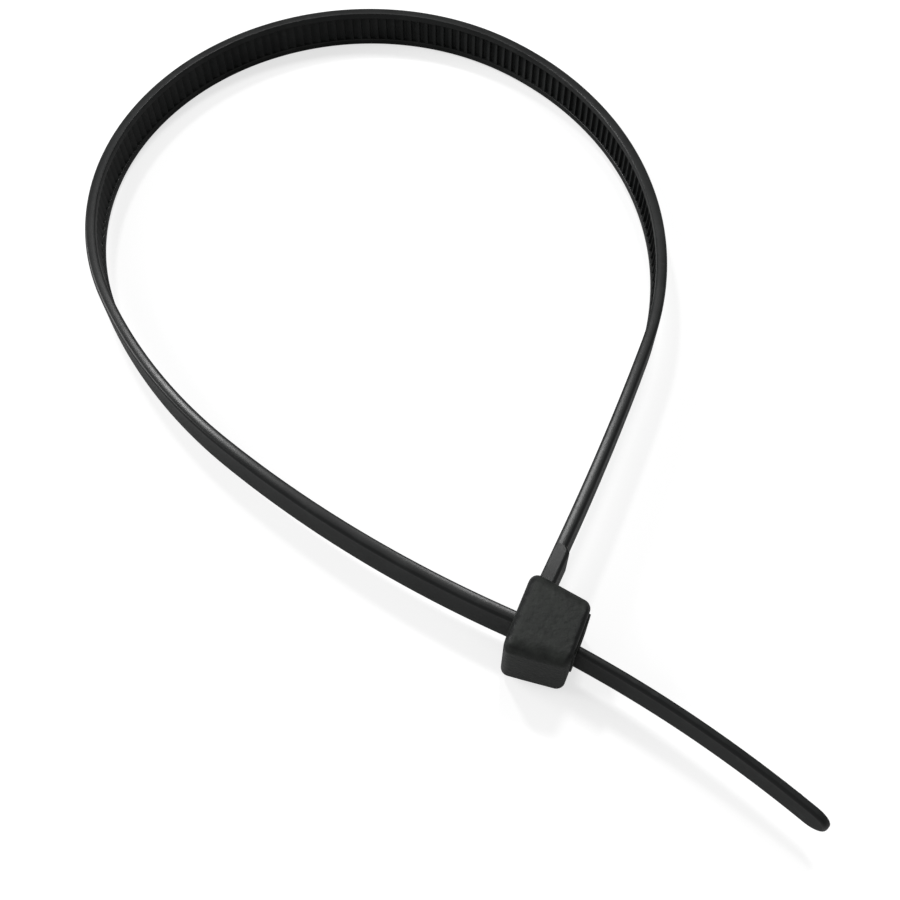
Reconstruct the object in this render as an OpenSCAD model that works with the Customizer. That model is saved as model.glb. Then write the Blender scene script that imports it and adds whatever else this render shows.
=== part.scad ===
// One-piece ratchet cable tie, closed into a loop and lying on its side.
// Working frame: the strap enters the head along +X and leaves the head's end along +Y.
// Z runs across the strap, with the strap's middle at Z = 0.

/* [Strap] */
// Width of the strap, across its flat side
strap_w = 4.8; // [4:0.1:6]
// Thickness of the strap over its side rails
strap_t = 1.2; // [1:0.05:1.6]
// Width of each smooth rail beside the teeth
rail_w = 0.8; // [0.5:0.05:1.1]
// Thickness of the web under the teeth
web_t = 0.75; // [0.5:0.05:0.85]
// Rounding of the two outer corners
outer_round = 0.35; // [0.1:0.05:0.45]
// Bevel of the rails' inner corners
rail_bevel = 0.12; // [0.05:0.01:0.2]

/* [Teeth] */
// Distance from one tooth to the next
tooth_pitch = 1.1; // [0.9:0.05:1.5]
// Height of a tooth above the web
tooth_h = 0.36; // [0.2:0.01:0.36]
// Length of a tooth's ramp
ramp_l = 0.85; // [0.5:0.05:0.85]
// Plain strap between the neck and the first tooth
plain_l = 8; // [4:0.5:20]

/* [Loop] */
// Radius of the nearly straight flank above the neck
flank_r = 365; // [300:5:600]
// Turn of that flank
flank_turn = 4; // [2:0.5:6]
// Radius of the side above that flank
side_r = 38; // [32:0.5:50]
// Turn of the side
side_turn = 76.5; // [60:0.5:90]
// Radius of the crown, the tightest part of the loop
crown_r = 30.5; // [24:0.5:31.5]
// Turn of the crown
crown_turn = 152; // [135:0.5:165]
// How full the shoulder before the closing flank is
shoulder_fullness = 0.84; // [0.6:0.01:0.92]

/* [Head] */
// Width of the head, across the strap
head_w = 8.8; // [8:0.1:10]
// Height of the head along the slot, from its entry face to its exit face
head_h = 6.2; // [5.6:0.1:7.5]
// How far the head's entry face stands in front of X = 0
entry_lip = 0.6; // [0.3:0.05:0.9]
// From the slot to the end that carries the strap
root_end = 4.5; // [4.2:0.1:5.5]
// From the slot to the free end
free_end = 3.6; // [3.2:0.1:4.4]
// Slope of the root's end towards the exit side, in degrees
root_draft = 8; // [5:0.5:10]
// Slope of the free end towards the exit side, in degrees
free_draft = 6.5; // [2:0.5:8]
// Slope of the two side faces towards the exit side, in degrees
side_draft = 2; // [0:0.5:4]
// Turn of the head's block about the slot's middle, in degrees
head_lean = 3; // [0:0.5:4]
// Share of the head's height over which the ends are straight
end_straight = 0.15; // [0.1:0.05:0.6]
// Share of the head's height over which the side faces are straight
side_straight = 0.4; // [0.3:0.05:0.6]
// Rounding of the corners seen from the side
corner_r = 0.8; // [0.3:0.1:1]
// Rounding of the long edges at the two ends
end_round = 1.4; // [0.8:0.1:1.6]
// Rounding of the two long edges at the entry face
entry_round = 0.9; // [0.4:0.1:1.2]
// Rounding of the two long edges at the exit face
exit_round = 0.45; // [0.2:0.05:0.6]
// Height of the low rim round the exit
rim_h = 0.3; // [0.1:0.05:0.5]
// Width of that rim
rim_w = 0.55; // [0.4:0.05:0.8]

/* [Neck] */
// Length of the thicker neck beside the head
neck_l = 4.1; // [2:0.1:6]
// Thickness of the neck
neck_t = 1.6; // [1.45:0.05:2.2]
// Length over which the neck thins to the strap
neck_blend = 0.45; // [0.3:0.05:1.5]
// How far the neck's inner side stands in front of X = 0
root_proud = 0.15; // [0:0.05:0.25]

/* [Slot and pawl] */
// Gap between the strap and each wall of the slot
slot_gap = 0.1; // [0.08:0.01:0.2]
// Flare of the slot's mouth
mouth_flare = 0.45; // [0.2:0.05:0.6]
// Width of the locking pawl
pawl_w = 2.9; // [2:0.1:3]
// Thickness of the pawl at its hinge
pawl_t = 0.75; // [0.5:0.05:0.9]
// How much thicker the pawl's back is at the hinge
hinge_rise = 0.55; // [0.2:0.05:0.7]
// Length of that thicker stretch
hinge_run = 0.4; // [0.2:0.05:0.6]
// Gap round the pawl in its pocket
pawl_gap = 0.35; // [0.2:0.05:0.5]
// Depth of the pocket beside the slot
pocket_d = 2.2; // [2:0.1:2.6]
// Thickness of the solid floor between the entry face and the pocket
hinge_floor = 0.9; // [0.7:0.05:1.3]
// Gap between the pawl's teeth and the strap's teeth
tooth_gap = 0.06; // [0.04:0.01:0.1]

/* [Tail] */
// Length of the tail beyond the head
tail_l = 26.2; // [15:0.2:35]
// Slant of the tail where it leaves the head, in degrees
tail_slant = 4.5; // [0:0.5:6]
// Further turn of the tail, away from the loop
tail_turn = 13; // [2:0.5:20]
// Thickness of the tail
tail_t = 0.8; // [0.6:0.05:0.95]
// Width of the tail beside the head
tail_w = 4.1; // [3.5:0.1:4.4]
// Width of the tail before its rounded tip
tip_w = 3.5; // [2.8:0.1:4]
// Length over which the strap thins to the tail
tail_blend = 1.6; // [1:0.1:3]
// Height of the grip ribs on the tail's inner side
rib_h = 0.12; // [0.08:0.01:0.2]
// Width of a rib at its foot
rib_w = 0.6; // [0.3:0.05:0.8]
// Plain edge beside a rib
rib_inset = 0.35; // [0.2:0.05:0.6]
// Distance between the grip ribs
rib_pitch = 1.5; // [1.2:0.1:3]
// Number of grip ribs
rib_count = 8; // [4:1:10]

/* [Rest] */
// Turn of the head against the loop's long axis
head_turn = -25.5; // [-40:0.5:-15]

/* [Hidden] */
$fa = 1;
$fs = 0.2;
// Steps round a full turn of the strap's arcs, fine enough for the widest of them
arc_fn = 720;
nylon_black = [0.11, 0.115, 0.11];
// Depth by which one solid runs into the next where they join
bite = 0.1;
// Each arc of the strap laps over the next one, whose section stands a hair inside its own
arc_lap = 0.2;
arc_step = 0.002;
// How far a cutting shape runs past what it cuts
past = 1;
// The strap's straight stretch ends where it thins inside the head, a whole number of teeth long
exit_u = head_h - entry_lip;
straight_end = exit_u - tail_blend;
least_lead = 0.5;
slot_run = ceil((straight_end + least_lead) / tooth_pitch) * tooth_pitch;
lead_in = slot_run - straight_end;

// The loop's centreline: an arc is [centre, radius, start angle, turn], run anticlockwise.
function unit(a) = [cos(a), sin(a)];
function arc_end(arc) = arc[0] + arc[1] * unit(arc[2] + arc[3]);
function next_arc(arc, r, turn) =
    [arc_end(arc) - r * unit(arc[2] + arc[3]), r, arc[2] + arc[3], turn];

root_u = strap_t / 2 - root_proud;
flank = [[root_u - flank_r, root_end + neck_l], flank_r, 0, flank_turn];
side = next_arc(flank, side_r, side_turn);
crown = next_arc(side, crown_r, crown_turn);

// The closing flank ends on the slot's axis, heading along +X, and the shoulder joins it to the crown.
slot_start = [-lead_in, 0];
crown_dir = unit(crown[2] + crown[3]);
shoulder_limit = (crown[0][1] - slot_start[1] + crown_r * crown_dir[1]) / (1 + crown_dir[1]);
shoulder_r = shoulder_fullness * shoulder_limit;
shoulder_open = next_arc(crown, shoulder_r, 0);
to_slot = slot_start - shoulder_open[0];
closing_r = (shoulder_r * shoulder_r - to_slot * to_slot) / (2 * (to_slot[1] + shoulder_r));
closing_centre = slot_start + [0, closing_r];
meet_dir = shoulder_open[0] - closing_centre;
meet_angle = 360 + atan2(meet_dir[1], meet_dir[0]);
shoulder = [shoulder_open[0], shoulder_r, shoulder_open[2], meet_angle - shoulder_open[2]];
closing = [closing_centre, closing_r, meet_angle, 270 - meet_angle];
loop_arcs = [flank, side, crown, shoulder, closing];

// Teeth: heights are measured from the centreline towards the inside of the loop.
web_level = web_t - strap_t / 2;
tooth_level = web_level + tooth_h;
band_w = strap_w - 2 * rail_w;

// Tail: it leaves the slot at a slant and turns clockwise, away from the loop.
tail_start = [exit_u, -tail_blend * tan(tail_slant) / 2];
tail_r = tail_l / (tail_turn * PI / 180);
function tail_place(s) =
    let (a = 90 - tail_slant - s / tail_r * 180 / PI)
        [tail_start + tail_r * (unit(a) - unit(90 - tail_slant)), a - 90];
function tail_beside(s, d) = let (p = tail_place(s)) p[0] + d * unit(p[1] + 90);
tail_steps = 12;

// Rest: the far side of the loop comes down to the table, level with the head's side.
function turned(p, a) = [p[0] * cos(a) - p[1] * sin(a), p[0] * sin(a) + p[1] * cos(a)];
side_drop = (head_w - strap_w) / 2;
block_middle = [exit_u / 2, 0];
heel_arm = [entry_round - entry_lip, root_end - end_round] - block_middle;
heel = block_middle + turned(heel_arm, head_lean);
heel_to_crown = crown[0] - heel;
reach = norm(heel_to_crown) + crown_r + strap_t / 2;
rest_tilt = asin(side_drop / reach);
tilt_axis = [-heel_to_crown[1], heel_to_crown[0], 0];
crown_at = turned(crown[0], head_turn);
side_at = turned(side[0], head_turn);
tip_at = turned(tail_place(tail_l)[0], head_turn);
low_x = crown_at[0] - crown_r - strap_t / 2;
high_x = max(tip_at[0], side_at[0] + side_r + strap_t / 2);
low_y = tip_at[1] - strap_t / 2 * cos(head_turn - tail_slant - tail_turn);
high_y = crown_at[1] + crown_r + strap_t / 2;
footprint = [(low_x + high_x) / 2, (low_y + high_y) / 2];

// Section of the strap, grown all round by g: X = 0 on its middle, inner side at -X
module strap_section(g = 0) {
    outer = strap_t / 2 + g;
    inner = -strap_t / 2 - g;
    half = strap_w / 2 + g;
    inside = band_w / 2 - g;
    floor_x = -web_level - g;
    corner = [for (a = [0:30:90]) outer_round * unit(a)];
    polygon(concat(
        [for (c = corner) [outer - outer_round + c[0], half - outer_round + c[1]]],
        [[inner + rail_bevel, half], [inner, half - rail_bevel]],
        [[inner, inside + rail_bevel], [inner + rail_bevel, inside]],
        [[floor_x, inside], [floor_x, -inside]],
        [[inner + rail_bevel, -inside], [inner, -inside - rail_bevel]],
        [[inner, -half + rail_bevel], [inner + rail_bevel, -half]],
        [for (i = [3:-1:0]) [outer - outer_round + corner[i][0], -half + outer_round - corner[i][1]]]
    ));
}

// One arc of the strap, from the origin heading along +Y, with what follows at its end
module strap_arc(r, turn, first_tooth, g) {
    lap = arc_lap / r * 180 / PI;
    translate([-r, 0, 0])
        rotate_extrude(angle = turn + lap, $fn = arc_fn) translate([r, 0]) strap_section(g);
    tooth_row(r, r * turn * PI / 180, first_tooth);
    translate([r * cos(turn) - r, r * sin(turn), 0]) rotate([0, 0, turn]) children();
}

// The strap from the neck's end, arc after arc, to the straight stretch inside the head
module strap(i = 0) {
    after = len(loop_arcs) - i;
    if (after > 0)
        strap_arc(loop_arcs[i][1], loop_arcs[i][3], i == 0 ? plain_l : 0, after * arc_step)
            strap(i + 1);
    else
        strap_in_slot();
}

module strap_in_slot() {
    rotate([-90, 0, 0]) linear_extrude(slot_run) mirror([0, 1]) strap_section();
    tooth_row(0, slot_run, 0);
}

// Saw teeth between the rails, steep on the root's side and ramped towards the tail.
// They fill the length l of one arc of radius r, or of a straight stretch where r is 0.
module tooth_row(r, l, first) {
    count = round((l - first) / tooth_pitch);
    step = (l - first) / count;
    lead = (step - ramp_l) / 2;
    foot = web_level - bite / 2;
    back = web_level - 2 * bite;
    function at(s, d) = r == 0 ? [-d, s] : [-r, 0] + (r - d) * unit(s / r * 180 / PI);
    starts = [for (i = [0:count - 1]) first + lead + i * step];
    inner = [for (s = starts) each [at(s, foot), at(s, tooth_level), at(s + ramp_l, foot)]];
    outer = [for (i = [count - 1:-1:0]) each [at(starts[i] + ramp_l, back), at(starts[i], back)]];
    translate([0, 0, -band_w / 2 - bite])
        linear_extrude(band_w + 2 * bite) polygon(concat(inner, outer));
}

// Thicker neck that carries the strap out of the head
module neck() {
    foot = root_end - end_round - bite;
    top = root_end + neck_l;
    translate([-root_proud, 0, 0])
        linear_extrude(strap_w, center = true)
            polygon([
                [0, foot], [0, top - rail_bevel], [rail_bevel, top], [strap_t, top],
                [neck_t, top - neck_blend], [neck_t, foot]
            ]);
}

// A rectangle from [x0, y0] to [x1, y1] with its corners rounded
module rounded_rect(x0, y0, x1, y1, r) {
    union() {
        translate([x0 + r, y0]) square([x1 - x0 - 2 * r, y1 - y0]);
        translate([x0, y0 + r]) square([x1 - x0, y1 - y0 - 2 * r]);
        for (x = [x0 + r, x1 - r], y = [y0 + r, y1 - r]) translate([x, y]) circle(r);
    }
}

// A block from y0 to y1 that is straight up to a share of the head's height and then slopes in
module sloped(y0, y1, share, slope0, slope1) {
    from = -entry_lip + share * head_h;
    to = exit_u + past;
    in0 = (to - from) * tan(slope0);
    in1 = (to - from) * tan(slope1);
    polygon([
        [-entry_lip - past, y0 - bite], [from, y0 - bite], [to, y0 + in0],
        [to, y1 - in1], [from, y1 + bite], [-entry_lip - past, y1 + bite]
    ]);
}

// Outline of the head seen from the side, narrower towards the exit
module head_outline() {
    intersection() {
        rounded_rect(-entry_lip, -free_end, exit_u, root_end, corner_r);
        sloped(-free_end, root_end, end_straight, free_draft, root_draft);
    }
}

// Outline of the head seen along its ends, with its entry edges rounder than its exit edges
module head_profile() {
    half = head_w / 2;
    intersection() {
        rounded_rect(-entry_lip, -half, exit_u + 2 * past, half, entry_round);
        rounded_rect(-entry_lip - past, -half, exit_u, half, exit_round);
        sloped(-half, half, side_straight, side_draft, side_draft);
    }
}

// The head's body: three rounded outlines, one along each axis, cut against each other
module head_body() {
    half = head_w / 2;
    intersection() {
        translate([0, 0, -half]) linear_extrude(head_w) head_outline();
        rotate([90, 0, 0])
            linear_extrude(2 * (root_end + free_end), center = true) head_profile();
        translate([-entry_lip - past, 0, 0])
            rotate([90, 0, 90])
                linear_extrude(head_h + 2 * past) rounded_rect(-free_end, -half, root_end, half, end_round);
    }
}

// Low rim round the slot's exit
module exit_rim() {
    half_w = strap_w / 2 + slot_gap + rim_w;
    low = -strap_t / 2 - slot_gap - rim_w;
    high = strap_t / 2 + pocket_d + rim_w / 2;
    translate([exit_u - bite, 0, 0])
        rotate([90, 0, 90])
            linear_extrude(rim_h + bite) rounded_rect(low, -half_w, high, half_w, corner_r);
}

// Passage for the strap, flared at its mouth
module slot_cut() {
    half_t = strap_t / 2 + slot_gap;
    half_w = strap_w / 2 + slot_gap;
    translate([-entry_lip - past, -half_t, -half_w])
        cube([head_h + rim_h + 2 * past, 2 * half_t, 2 * half_w]);
    translate([-entry_lip, 0, 0])
        intersection() {
            translate([0, 0, -half_w - mouth_flare])
                linear_extrude(2 * (half_w + mouth_flare)) flared(half_t);
            rotate([90, 0, 0])
                linear_extrude(2 * (half_t + mouth_flare), center = true) flared(half_w);
        }
}

// A funnel at 45 degrees that closes in to plus and minus half at the flare's end
module flared(half) {
    mouth = half + mouth_flare + past;
    polygon([[-past, -mouth], [mouth_flare, -half], [mouth_flare, half], [-past, mouth]]);
}

// Pocket that gives the pawl room to bend away, open at the exit
module pawl_pocket() {
    half_w = pawl_w / 2 + pawl_gap;
    translate([hinge_u, 0, -half_w]) cube([head_h + rim_h, strap_t / 2 + pocket_d, 2 * half_w]);
}

// The pawl's tip stops against the strap's last whole tooth in the slot. Its teeth follow one
// pitch apart, as many as there is room for before its hinge.
tooth_land = tooth_pitch - ramp_l;
pawl_tip = straight_end - tooth_pitch + tooth_land / 2 - tooth_gap;
hinge_u = hinge_floor - entry_lip;
pawl_root = hinge_u - bite;
pawl_teeth = 1 + floor((pawl_tip - tooth_land - pawl_root) / tooth_pitch);

// Locking tongue: it grows from the floor by the entry and points at the exit
module pawl() {
    low = web_level + tooth_gap;
    high = tooth_level + tooth_gap;
    back = high + pawl_t;
    teeth = [for (i = [0:pawl_teeth - 1]) let (u = pawl_tip - i * tooth_pitch)
        each [[u, high], [u, low], [u - tooth_land, low]]];
    translate([0, 0, -pawl_w / 2])
        linear_extrude(pawl_w)
            polygon(concat(
                [[pawl_tip, back]],
                teeth,
                [[pawl_root, high],
                 [pawl_root, back + hinge_rise],
                 [hinge_u + hinge_run, back + hinge_rise]]
            ));
}

module head() {
    difference() {
        translate(block_middle) rotate([0, 0, head_lean]) translate(-block_middle) {
            head_body();
            exit_rim();
        }
        slot_cut();
        pawl_pocket();
    }
    pawl();
}

// Tail: thinner and narrower than the strap, with a rounded tip and low ribs on its inner side
module tail() {
    blend_s = -tail_blend - bite;
    round_r = tip_w / 2;
    outer_at = strap_t / 2;
    plan_inner = [for (i = [0:tail_steps]) tail_beside(i * tail_l / tail_steps, tail_t - outer_at)];
    plan_outer = [for (i = [tail_steps:-1:0]) tail_beside(i * tail_l / tail_steps, -outer_at)];
    chord = tail_place(tail_l)[0] - tail_start;
    intersection() {
        translate([0, 0, -strap_w / 2])
            linear_extrude(strap_w)
                polygon(concat(
                    [[exit_u + blend_s, bite - outer_at], [exit_u + blend_s, web_level - bite]],
                    plan_inner, plan_outer));
        translate([tail_start[0], tail_start[1], 0])
            rotate([0, 0, atan2(chord[1], chord[0])])
                rotate([90, 0, 0])
                    linear_extrude(4 * strap_t, center = true)
                        polygon(concat(
                            [[blend_s - past, outer_round - strap_w / 2], [0, -tail_w / 2]],
                            [for (a = [-90:15:90])
                                [norm(chord) - round_r + round_r * cos(a), round_r * sin(a)]],
                            [[0, tail_w / 2], [blend_s - past, strap_w / 2 - outer_round]]));
    }
    for (i = [0:rib_count - 1]) tail_rib(tail_l - tip_w - i * rib_pitch);
}

module tail_rib(s) {
    p = tail_place(s);
    half = tip_w / 2 - rib_inset;
    translate([p[0][0], p[0][1], 0])
        rotate([0, 0, p[1]])
            translate([0, 0, -half])
                linear_extrude(2 * half)
                    translate([0, tail_t - strap_t / 2 - bite])
                        polygon([[-rib_w / 2, 0], [-rib_w / 4, bite + rib_h],
                                 [rib_w / 4, bite + rib_h], [rib_w / 2, 0]]);
}

// Set the tie down on Z = 0, with the middle of its footprint at the origin
module at_rest() {
    translate([-footprint[0], -footprint[1], head_w / 2])
        rotate([0, 0, head_turn])
            translate([heel[0], heel[1], -head_w / 2])
                rotate(a = rest_tilt, v = tilt_axis)
                    translate([-heel[0], -heel[1], head_w / 2])
                        children();
}

module cable_tie() {
    color(nylon_black)
        at_rest() {
            neck();
            translate([root_u, root_end + neck_l, 0]) strap();
            head();
            tail();
        }
}

cable_tie();
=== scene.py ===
"""Dress a one-piece cable tie: black moulded nylon, closed into a loop and lying on its side.

The tie is one moulding. Its five meshes, the head, the neck, the toothed strap, the locking pawl
and the tail, meet where the moulding runs through and together stand for the one CAD node.

Lengths are in millimetres in the tie's own working frame: the strap enters the head along +U and
leaves the head's end along +V, and Z runs across the strap. Rest turns that frame into the part's
frame, in metres.
"""

import logging
import math
from collections.abc import Iterator
from contextlib import contextmanager
from dataclasses import dataclass, field
from enum import Enum

import bmesh
import bpy
import numpy as np
from mathutils import Matrix, Vector

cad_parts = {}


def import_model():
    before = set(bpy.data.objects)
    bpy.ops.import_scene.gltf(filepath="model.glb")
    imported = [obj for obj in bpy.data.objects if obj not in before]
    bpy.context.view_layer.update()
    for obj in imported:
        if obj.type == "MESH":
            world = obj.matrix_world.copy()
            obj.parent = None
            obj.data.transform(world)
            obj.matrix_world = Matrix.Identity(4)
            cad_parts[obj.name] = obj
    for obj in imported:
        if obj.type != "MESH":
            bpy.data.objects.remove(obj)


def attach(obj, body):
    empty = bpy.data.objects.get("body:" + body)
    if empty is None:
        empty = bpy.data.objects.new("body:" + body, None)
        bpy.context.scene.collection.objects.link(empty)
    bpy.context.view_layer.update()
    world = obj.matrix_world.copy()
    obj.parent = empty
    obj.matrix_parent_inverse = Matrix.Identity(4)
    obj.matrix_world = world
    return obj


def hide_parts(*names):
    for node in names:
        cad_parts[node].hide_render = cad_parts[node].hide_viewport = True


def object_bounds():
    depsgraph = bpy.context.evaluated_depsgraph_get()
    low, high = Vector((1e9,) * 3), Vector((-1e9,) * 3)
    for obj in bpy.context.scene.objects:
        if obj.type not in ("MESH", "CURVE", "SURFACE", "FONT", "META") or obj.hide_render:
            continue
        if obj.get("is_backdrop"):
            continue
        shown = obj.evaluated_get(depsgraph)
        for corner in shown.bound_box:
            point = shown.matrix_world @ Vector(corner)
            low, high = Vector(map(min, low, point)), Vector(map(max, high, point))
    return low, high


MM = 0.001
WELD = 1e-5
NEAR = 1e-6
PIT_SHARE = 0.6
NODE = "cable_tie"
Face = tuple[int, ...]
Pair = tuple[float, float]
Triple = tuple[float, float, float]
Points = np.ndarray | list[Triple]
log = logging.getLogger("cable_tie")


class Surface(Enum):
    """The finishes that the tool's steel leaves on the moulding."""

    POLISHED = "polished_nylon"
    SATIN = "satin_nylon"
    TEXTURED = "textured_nylon"


class RubAndShade:
    """How far handling polishes each kind of place, from 0 to 1; the same value darkens the colour
    there as painted shade.
    """

    NONE: float = 0.0
    BESIDE_EDGE: float = 0.1
    NECK_EDGE_FACE: float = 0.3
    ROUNDING_END: float = 0.35
    EDGE_FACE: float = 0.7
    TOOTH_CREST: float = 0.8


def unit(degrees: float) -> np.ndarray:
    """Return the unit vector at an angle in the U-V plane."""
    return np.array([math.cos(math.radians(degrees)), math.sin(math.radians(degrees))])


def smooth_step(values: np.ndarray, low: float, high: float) -> np.ndarray:
    """Ramp smoothly from 0 at low to 1 at high.

    Args:
        values: The values to ramp.
        low: Where the ramp starts.
        high: Where the ramp ends.

    Returns:
        The ramp at each value, from 0 to 1.
    """
    share = np.clip((values - low) / (high - low), 0.0, 1.0)
    return share * share * (3.0 - 2.0 * share)


def round_meet(a: np.ndarray, b: np.ndarray, radius: np.ndarray | float) -> np.ndarray:
    """Meet two signed distances in a rounded outer edge.

    Args:
        a: Distance outside the first face, negative inside.
        b: Distance outside the second face, negative inside.
        radius: Radius of the rounding between them.

    Returns:
        Distance outside the rounded edge that the two faces make.
    """
    over_a = np.maximum(a + radius, 0.0)
    over_b = np.maximum(b + radius, 0.0)
    return np.minimum(np.maximum(a, b), -radius) + np.hypot(over_a, over_b)


def new_mesh(name: str, points: Points, faces: list[Face]) -> bpy.types.Mesh:
    """Make a mesh.

    Args:
        name: Its name.
        points: Its points.
        faces: Its faces, as numbers of points.

    Returns:
        The mesh.
    """
    mesh = bpy.data.meshes.new(name)
    mesh.from_pydata([tuple(p) for p in points], [], faces)
    return mesh


def new_object(name: str, data: bpy.types.ID) -> bpy.types.Object:
    """Make an object and link it to the scene.

    Args:
        name: Its name.
        data: Its mesh, light or camera.

    Returns:
        The object.
    """
    made = bpy.data.objects.new(name, data)
    bpy.context.scene.collection.objects.link(made)
    return made


@contextmanager
def opened(mesh: bpy.types.Mesh) -> Iterator[bmesh.types.BMesh]:
    """Open a mesh for editing and write it back at the end.

    Args:
        mesh: The mesh.

    Yields:
        The editable form of the mesh.
    """
    solid = bmesh.new()
    solid.from_mesh(mesh)
    yield solid
    solid.to_mesh(mesh)
    solid.free()


@dataclass(frozen=True)
class StrapSize:
    """Section of the toothed strap and the pitch of its teeth."""

    width: float = 4.8
    thickness: float = 1.2
    rail: float = 0.8
    web: float = 0.75
    outer_round: float = 0.35
    rail_round: float = 0.12
    pitch: float = 1.1
    tooth: float = 0.36
    ramp: float = 0.85
    plain: float = 8.0

    @property
    def half(self) -> float:
        """Half of the strap's width."""
        return self.width / 2

    @property
    def side(self) -> float:
        """From the centreline to either flat side."""
        return self.thickness / 2

    @property
    def band(self) -> float:
        """Half of the width between the rails."""
        return self.half - self.rail

    @property
    def foot(self) -> float:
        """Level of the web under the teeth, from the centreline towards the inside."""
        return self.web - self.side


@dataclass(frozen=True)
class HeadSize:
    """Outside of the locking head, its slot, its pocket, its pawl and the neck beside it."""

    width: float = 8.8
    height: float = 6.2
    lip: float = 0.6
    root_end: float = 4.5
    free_end: float = 3.6
    root_draft: float = 8.0
    free_draft: float = 6.5
    side_draft: float = 2.0
    lean: float = 3.0
    end_straight: float = 0.15
    side_straight: float = 0.4
    corner_round: float = 0.8
    end_round: float = 1.4
    entry_round: float = 0.9
    exit_round: float = 0.45
    rim_height: float = 0.18
    rim_width: float = 0.55
    slot_gap: float = 0.1
    flare: float = 0.45
    pawl_width: float = 2.9
    pawl_thickness: float = 0.75
    pawl_gap: float = 0.35
    pocket: float = 2.2
    hinge_floor: float = 0.9
    hinge_rise: float = 0.55
    hinge_run: float = 0.4
    tooth_gap: float = 0.06
    neck_length: float = 4.1
    neck_thickness: float = 1.6
    neck_blend: float = 0.45
    neck_proud: float = 0.15

    @property
    def exit(self) -> float:
        """Where the exit face stands along the slot."""
        return self.height - self.lip

    @property
    def hinge(self) -> float:
        """Where the pocket's floor stands along the slot."""
        return self.hinge_floor - self.lip

    def leaned(self, points: np.ndarray, share: float = 1.0) -> np.ndarray:
        """Turn points with the head's block, about the middle of its height.

        Args:
            points: Points in the working frame, with U and V first.
            share: Share of the turn, -1 to turn them back.

        Returns:
            The turned points.
        """
        along, across = unit(self.lean * share)
        found = np.array(points, dtype=float)
        u, v = found[..., 0] - self.exit / 2, found[..., 1]
        found[..., 0] = self.exit / 2 + u * along - v * across
        found[..., 1] = u * across + v * along
        return found


@dataclass(frozen=True)
class TailSize:
    """Plain tail that stands out beyond the head."""

    length: float = 26.2
    slant: float = 4.5
    turn: float = 13.0
    thickness: float = 0.8
    width: float = 4.1
    tip: float = 3.5
    blend: float = 1.6
    rib: float = 0.12
    rib_width: float = 0.6
    rib_inset: float = 0.35
    rib_pitch: float = 1.5
    ribs: int = 8

    @property
    def radius(self) -> float:
        """Radius of the tail's bend."""
        return self.length / math.radians(self.turn)


@dataclass(frozen=True)
class Arc:
    """One arc of the strap's centreline, run anticlockwise, with angles in degrees."""

    centre: np.ndarray
    radius: float
    start: float
    turn: float

    @property
    def length(self) -> float:
        """Length along the arc."""
        return self.radius * math.radians(self.turn)

    @property
    def end(self) -> np.ndarray:
        """Point where the arc ends."""
        return self.centre + self.radius * unit(self.start + self.turn)

    def onward(self, radius: float, turn: float) -> "Arc":
        """Return the arc that goes on from this one without a corner.

        Args:
            radius: Radius of the next arc.
            turn: Turn of the next arc.

        Returns:
            The next arc.
        """
        angle = self.start + self.turn
        return Arc(self.end - radius * unit(angle), radius, angle, turn)


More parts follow.
